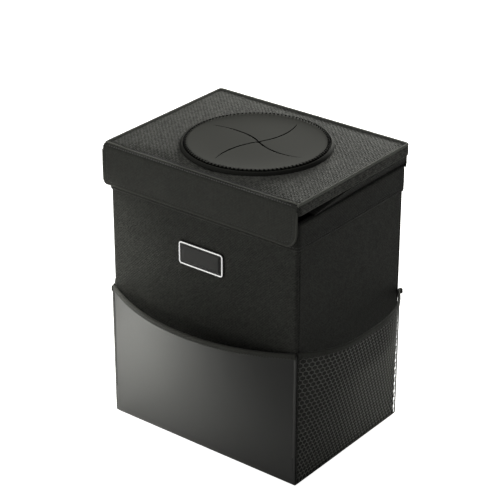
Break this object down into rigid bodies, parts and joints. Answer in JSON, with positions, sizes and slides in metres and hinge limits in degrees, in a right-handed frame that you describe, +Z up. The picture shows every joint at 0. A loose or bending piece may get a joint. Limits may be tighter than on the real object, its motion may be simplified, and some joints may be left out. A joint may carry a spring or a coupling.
{
  "type": "car trash bin",
  "caption": "Upright stiffened cloth litter bin for a car, with a hinged lid, a slit rubber opening, a front flap, a plain front pocket and net side pockets.",
  "frame": {"origin": "middle of the box's underside, on the surface that it stands on", "axes": "+Z up, -Y to the front with the flap and the plain pocket, +X to the side on the viewer's right"},
  "size_m": [0.2596, 0.1997, 0.284],
  "materials": {
    "body_cloth": "woven polyester, dark grey",
    "lid_cloth": "woven polyester, mid grey",
    "flap_cloth": "woven polyester, dark grey, turned edges",
    "pocket_sheet": "smooth coated sheet, satin sheen",
    "net": "knitted mesh with small hexagonal holes",
    "binding": "ribbed binding tape",
    "board": "stiffening sheet",
    "foam": "closed-cell foam",
    "liner": "waterproof coated cloth, dull black",
    "label_black": "moulded soft plate, matt black",
    "label_white": "moulded raised outline, matt white",
    "grip": "hook and loop tape",
    "disc_rubber": "smooth moulded rubber",
    "clamp_plastic": "moulded ring",
    "webbing": "ribbed webbing",
    "buckle_plastic": "moulded, fine satin"
  },
  "bodies": {
    "bin": {"bottom_panel": "body_cloth", "bottom_board": "board", "front_panel": "body_cloth", "back_panel": "body_cloth", "left_panel": "body_cloth", "right_panel": "body_cloth", "front_board": "board", "back_board": "board", "left_board": "board", "right_board": "board", "liner": "liner", "rim_band": "body_cloth", "front_pocket": "pocket_sheet", "left_net_pocket": "net", "right_net_pocket": "net", "front_pocket_binding": "binding", "left_pocket_binding": "binding", "right_pocket_binding": "binding", "label_plate": "label_black", "label_outline": "label_white", "rim_loop_strip": "grip", "lid_hinge_strip": "body_cloth", "left_gusset": "body_cloth", "right_gusset": "body_cloth", "left_strap": "webbing", "right_strap": "webbing", "buckle_socket": "buckle_plastic", "buckle_plug": "buckle_plastic"},
    "lid": {"lid_cover": "lid_cloth", "lid_board": "board", "lid_foam": "foam", "lid_lining": "liner", "lid_piping": "binding", "opening_disc": "disc_rubber", "clamp_ring": "clamp_plastic"},
    "flap": {"flap_cover": "flap_cloth", "flap_board": "board", "flap_hook_strip": "grip"}
  },
  "joints": [
    {"name": "lid_hinge", "type": "hinge", "parent": "bin", "child": "lid", "pos_m": [0, 0.082, 0.2645], "axis": [-1, 0, 0], "range_deg": [0, 60]},
    {"name": "flap_hinge", "type": "hinge", "parent": "lid", "child": "flap", "pos_m": [0, -0.0833, 0.28], "axis": [-1, 0, 0], "range_deg": [0, 120]}
  ]
}
